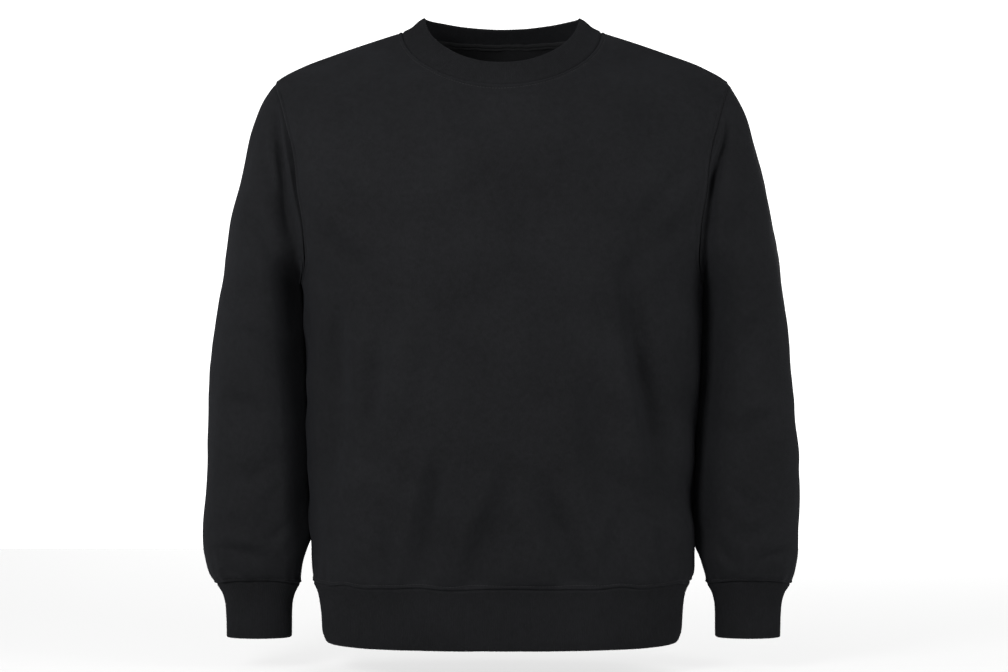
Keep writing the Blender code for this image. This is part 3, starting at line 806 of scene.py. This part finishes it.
# The ribs: each one's surface and last place, the width of a rib, the grid's step down it, and how its
# seam lies.
BANDS = {
    "neck": SimpleNamespace(
        surface=neck_point, last=3.0, pitch=1.95, step=2.4, wave=no_wave, seam_normal=neck_seam_normal
    ),
    "hem": SimpleNamespace(
        surface=hem_point, last=4.0, pitch=2.0, step=4.6, wave=hem_wave, seam_normal=hem_seam_normal
    ),
    "cuff": SimpleNamespace(
        surface=cuff_point, last=4.0, pitch=1.9, step=4.0, wave=no_wave, seam_normal=cuff_seam_normal
    ),
}


def rib_columns(surface, place, pitch):
    """Angles for four columns to each rib, evenly spaced round one row of a band, and their relief."""
    trial = np.linspace(0, 2 * math.pi, 6001)
    length = arc_lengths(surface(trial, np.full_like(trial, place)), 0)
    count = int(round(length[-1] / pitch))
    at = (np.arange(4 * count) + 0.5) / (4 * count) * length[-1]
    return np.interp(at, length, trial), np.tile((1.0, 1.0, -1.0, -1.0), count), length[-1]


def make_band(name, band, material, side=1, sway=0.0):
    """A rib folded double: out of its seam, round its free edge and back inside to the seam. Returns the
    piece, its girth and how deep it shows."""
    angles, ribs, girth = rib_columns(band.surface, band.last / 2, band.pitch)
    trial = np.linspace(0, band.last, 400)
    length = arc_lengths(band.surface(np.full_like(trial, BAND_RUN), trial), 0)
    deep = length[-1]
    shares = spread(deep - RIB_WALL / 2, band.step, True, False) * (1 - RIB_WALL / 2 / deep)
    places = np.interp(shares * deep, length, trial)
    place, angle = np.meshgrid(places, angles, indexing="ij")
    base = band.surface(angle, place)
    normal = normal_of(band.surface, angle, place, band.last)
    seam_normal = band.seam_normal(angles)
    outward = np.sign(np.sum(normal[0] * seam_normal, -1).mean())
    ease = rise(place, 0.3, 0.0)[..., None]
    normal = unit(ease * seam_normal[None] + (1 - ease) * outward * normal)
    down = arc_lengths(base, 0)
    base[0] += SEAM_GAP * unit(base[1] - base[0])
    fade = rise(down, 0.0, 4.0)
    ribbing = RIB_DEPTH * ribs[None] * fade
    relief = ribbing + plain_seam(down) + 0.35 * rumple(base, SEEDS["band"], 45.0, 0.4) * fade
    shift = band.wave(angle) * np.exp(-down / WAVE_REACH)
    outer = base + relief[..., None] * normal
    outer[..., 2] += shift
    inner = base - (RIB_WALL + 0.6 * ribbing)[..., None] * normal
    inner[..., 2] += shift
    end = unit(base[-1] - base[-2])
    middle = (outer[-1] + inner[-1]) / 2
    half = np.linalg.norm(outer[-1] - inner[-1], axis=-1, keepdims=True) / 2
    turns = [math.pi * k / 4 for k in (1, 2, 3)]
    rounded = [middle + half * (math.cos(turn) * normal[-1] + math.sin(turn) * end) for turn in turns]
    kept = np.unique(np.concatenate((np.arange(0, len(inner), 2), [len(inner) - 1])))[::-1]
    rows = np.concatenate((outer, np.array(rounded), inner[kept]))
    around = np.broadcast_to(np.arange(len(angles)) / len(angles) * girth, rows.shape[:2])
    cut = np.stack((around, arc_lengths(rows, 0)), -1)
    height, width = rows.shape[:2]
    seam = np.arange(width)
    after = (seam + 1) % width
    foot = (height - 1) * width
    closing = np.stack((foot + seam, foot + after, after, seam), -1)
    faces = np.concatenate((grid_faces(height, width, True), closing))
    if side * outward < 0:
        faces = faces[:, ::-1]
    points = (rows.reshape(-1, 3) + (sway, 0, 0)) * (side, 1, 1)
    return add_mesh(name, points, faces, cut.reshape(-1, 2), [material]), girth, deep


def make_neck_tape(material):
    """The binding inside the back neck: a narrow strip of knit laid over the seam and stitched down."""
    angles = np.linspace(*np.radians(TAPE_ENDS), TAPE_COLUMNS)
    below = np.array((0.18, 0.14, 0.08, 0.02))  # places down the panel from the seam
    above = np.array((0.05, 0.14, 0.24, 0.34, 0.42, 0.46))  # and up the rib
    panel_side, panel_angle = np.meshgrid(NECK_ROW - below, angles, indexing="ij")
    rib_side, rib_angle = np.meshgrid(above, angles, indexing="ij")
    seam_side = body_point(panel_angle, panel_side)
    rib_normal = normal_of(neck_point, rib_angle, rib_side, BANDS["neck"].last)
    rib_normal *= np.sign(np.sum(rib_normal * neck_seam_normal(angles), -1).mean())
    normal = np.concatenate((body_normal(panel_angle, panel_side), rib_normal))
    base = np.concatenate((seam_side, neck_point(rib_angle, rib_side)))
    wall = np.repeat((CLOTH_WALL, RIB_WALL), (len(below), len(above)))[:, None, None]
    width = np.linspace(0, 1, len(base))[:, None]
    ripple = 0.16 * np.sin(angles * 95)[None] * np.sin(width * math.pi * 3)
    lift = (0.45 + 0.6 * np.sin(math.pi * width) ** 0.5 + ripple)[..., None]
    outer = base - (wall + lift) * normal
    outer[..., 2] += 0.35 * np.sin(angles * 17) + 0.25 * np.sin(angles * 41)
    back = outer + (lift + 0.2) * normal
    cut = np.stack((arc_lengths(outer, 1), arc_lengths(outer, 0)), -1)
    tape = shell("neck_tape", outer, back, cut, False, 1, [material, material])
    return tape, (float(cut[:, -1, 0].mean()), float(cut[-1, :, 1].mean()))


# ---- materials ----


def new_node(tree, kind, inputs=(), **settings):
    made = tree.nodes.new(kind)
    for key, value in settings.items():
        setattr(made, key, value)
    for key, value in dict(inputs).items():
        if isinstance(value, bpy.types.NodeSocket):
            tree.links.new(value, made.inputs[key])
        else:
            made.inputs[key].default_value = value
    return made


def maths(tree, operation, *values):
    return new_node(tree, "ShaderNodeMath", enumerate(values), operation=operation).outputs[0]


def knit_height(tree, across, along, wale, course):
    """Columns of slanting stitches, like the face of a plain knit, as a height from 0 to 1."""
    column = maths(tree, "FRACT", maths(tree, "MULTIPLY", across, 1 / (wale * MM)))
    away = maths(tree, "MULTIPLY", maths(tree, "ABSOLUTE", maths(tree, "SUBTRACT", column, 0.5)), 2.0)
    row = maths(tree, "MULTIPLY", along, 1 / (course * MM))
    slanted = maths(tree, "ADD", row, maths(tree, "MULTIPLY", away, 0.6))
    phase = maths(tree, "MULTIPLY", slanted, 2 * math.pi)
    stitch = maths(tree, "MULTIPLY_ADD", maths(tree, "SINE", phase), 0.5, 0.5)
    round_top = maths(tree, "SUBTRACT", 1.0, maths(tree, "POWER", away, 3.0))
    return maths(tree, "MULTIPLY", round_top, maths(tree, "MULTIPLY_ADD", stitch, 0.55, 0.45))


def noise(tree, place, scale, **settings):
    inputs = {"Vector": place, "Scale": scale} | settings
    return new_node(tree, "ShaderNodeTexNoise", inputs).outputs[0]


def cloth_material(name, dark, light, wale, course, knit_depth, fuzz_depth, sheen):
    """A dyed cotton knit: stitches and fuzz in relief, and a slightly uneven, faintly heathered dye.
    wale and course are a stitch's width and height, and both depths are in millimetres."""
    material = bpy.data.materials.new(name)
    material.use_nodes = True
    tree = material.node_tree
    shader = tree.nodes["Principled BSDF"]
    cut = new_node(tree, "ShaderNodeUVMap", uv_map="cut").outputs[0]
    place = new_node(tree, "ShaderNodeTexCoord").outputs["Object"]
    parts = new_node(tree, "ShaderNodeSeparateXYZ", {0: cut}).outputs
    knit = knit_height(tree, parts[0], parts[1], wale, course)
    yarn = new_node(tree, "ShaderNodeMapping", {"Vector": cut, "Scale": (900.0, 260.0, 1.0)}).outputs[0]
    yarns = noise(tree, yarn, 1.0, Detail=2.0)
    mottle = noise(tree, place, 150.0, Detail=4.0, Roughness=0.7)
    cloud = noise(tree, place, 13.0, Detail=2.0)
    fuzz = noise(tree, place, 1400.0, Detail=3.0, Roughness=0.7)
    tone = maths(tree, "MULTIPLY_ADD", yarns, 0.45, maths(tree, "MULTIPLY_ADD", mottle, 0.9, -0.41))
    tone = maths(tree, "ADD", tone, maths(tree, "MULTIPLY", cloud, 0.55))
    tone = maths(tree, "MULTIPLY_ADD", knit, 0.18, tone)
    ramp = new_node(tree, "ShaderNodeValToRGB", {0: tone})
    ramp.color_ramp.elements[0].position = 0.3
    ramp.color_ramp.elements[0].color = (*dark, 1.0)
    ramp.color_ramp.elements[1].position = 0.9
    ramp.color_ramp.elements[1].color = (*light, 1.0)
    rough = maths(tree, "MULTIPLY_ADD", mottle, 0.14, 0.82)
    relief = maths(tree, "MULTIPLY_ADD", knit, knit_depth, maths(tree, "MULTIPLY", fuzz, fuzz_depth))
    bump = new_node(tree, "ShaderNodeBump", {"Height": relief, "Distance": MM, "Strength": 1.0})
    tree.links.new(ramp.outputs[0], shader.inputs["Base Color"])
    tree.links.new(rough, shader.inputs["Roughness"])
    tree.links.new(bump.outputs[0], shader.inputs["Normal"])
    shader.inputs["Specular IOR Level"].default_value = 0.25
    shader.inputs["Sheen Weight"].default_value = sheen
    shader.inputs["Sheen Roughness"].default_value = 0.55
    shader.inputs["Sheen Tint"].default_value = (0.62, 0.66, 0.78, 1.0)
    return material


def stage_material():
    """Matt white that lets part of the white air through, so that shadows on it stay faint."""
    material = bpy.data.materials.new("studio_white")
    material.use_nodes = True
    shader = material.node_tree.nodes["Principled BSDF"]
    shader.inputs["Base Color"].default_value = (0.95, 0.95, 0.95, 1.0)
    shader.inputs["Roughness"].default_value = 0.9
    shader.inputs["Specular IOR Level"].default_value = 0.0
    shader.inputs["Alpha"].default_value = FLOOR_SHARE
    return material


# ---- the garment ----

CLOTHS = {
    "fleece_face": ((0.0118, 0.0121, 0.0136), (0.0232, 0.0238, 0.0266), 1.25, 1.0, 0.16, 0.10, 0.05),
    "fleece_inside": ((0.0095, 0.0098, 0.0108), (0.0190, 0.0195, 0.0215), 2.4, 1.6, 0.10, 0.35, 0.05),
    "rib_knit": ((0.0112, 0.0115, 0.0129), (0.0212, 0.0218, 0.0243), 1.3, 1.1, 0.16, 0.08, 0.04),
    # The thread's colours are about three times the cloth's: a painted highlight along the topstitching.
    "thread_with_painted_highlight": ((0.0340, 0.0348, 0.0375), (0.0580, 0.0592, 0.0630), 0.5, 0.7, 0.05, 0.02, 0.0),
    "tape_knit": ((0.020, 0.0205, 0.022), (0.040, 0.041, 0.043), 1.6, 0.8, 0.2, 0.08, 0.03),
}
cloths = {name: cloth_material(name, *look) for name, look in CLOTHS.items()}
fleece = [cloths["fleece_face"], cloths["fleece_inside"]]

neck_tape, (tape_length, tape_width) = make_neck_tape(cloths["tape_knit"])
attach(neck_tape, "root")

pieces = {}
threads = {}
body_runs = []
for panel in ("front", "back"):
    pieces[f"{panel}_panel"], runs = make_panel(panel, fleece)
    body_runs += runs
for side_name, (side, _) in SIDES.items():
    name = f"sleeve_{side_name}"
    pieces[name], runs = make_sleeve(side_name, fleece)
    threads[name] = add_stitches(f"cuff_stitches_{side_name}", runs, side, cloths["thread_with_painted_highlight"])
threads["front_panel"] = add_stitches("body_stitches", body_runs, 1, cloths["thread_with_painted_highlight"])

rib_knit = cloths["rib_knit"]
pieces["neck_rib"], neck_girth, neck_deep = make_band("neck_rib", BANDS["neck"], rib_knit)
pieces["hem_band"], hem_girth, hem_deep = make_band("hem_band", BANDS["hem"], rib_knit)
for side_name, (side, sway) in SIDES.items():
    name = f"cuff_{side_name}"
    pieces[name], cuff_girth, cuff_deep = make_band(name, BANDS["cuff"], rib_knit, side, sway)

# Each piece hangs from the root in place of its CAD part, which is hidden.
for name, piece in pieces.items():
    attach(piece, "root")
    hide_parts(name)
for name in ("front_panel", "sleeve_left", "sleeve_right"):
    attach(threads[name], "root")


# ---- the studio ----


def add_floor():
    line = np.linspace(-FLOOR_HALF, FLOOR_HALF, FLOOR_POINTS)
    across, away = np.meshgrid(line, line)
    points = np.stack((across, away, np.full_like(across, FLOOR_Z)), -1).reshape(-1, 3) / MM
    faces = grid_faces(FLOOR_POINTS, FLOOR_POINTS, False)
    floor = add_mesh("floor", points, faces, points[:, :2], [stage_material()])


def add_area(name, place, target, size, power):
    light = bpy.data.lights.new(name, "AREA")
    light.shape = "RECTANGLE"
    light.size, light.size_y = size
    light.energy = power
    made = bpy.data.objects.new(name, light)
    bpy.context.scene.collection.objects.link(made)
    made.location = place
    direction = Vector(target) - Vector(place)
    made.rotation_euler = direction.to_track_quat("-Z", "Y").to_euler()


add_floor()
for light in LIGHTS:
    add_area(*light)

world = bpy.data.worlds.new("studio_air")
world.use_nodes = True
air = world.node_tree
seen = new_node(air, "ShaderNodeLightPath").outputs["Is Camera Ray"]
strength = maths(air, "MULTIPLY_ADD", seen, AIR_SEEN - AIR_LIGHT, AIR_LIGHT)
air.nodes["Background"].inputs["Color"].default_value = (1.0, 1.0, 1.0, 1.0)
air.links.new(strength, air.nodes["Background"].inputs["Strength"])
bpy.context.scene.world = world
bpy.context.scene.view_settings.view_transform = "Standard"

camera = bpy.data.cameras.new("camera")
camera.sensor_width = 36.0
camera.lens = CAMERA_LENS
camera.clip_start, camera.clip_end = 0.05, 60.0
viewer = bpy.data.objects.new("camera", camera)
bpy.context.scene.collection.objects.link(viewer)
viewer.location = CAMERA_PLACE
viewer.rotation_euler = (math.pi / 2, 0.0, 0.0)
bpy.context.scene.camera = viewer
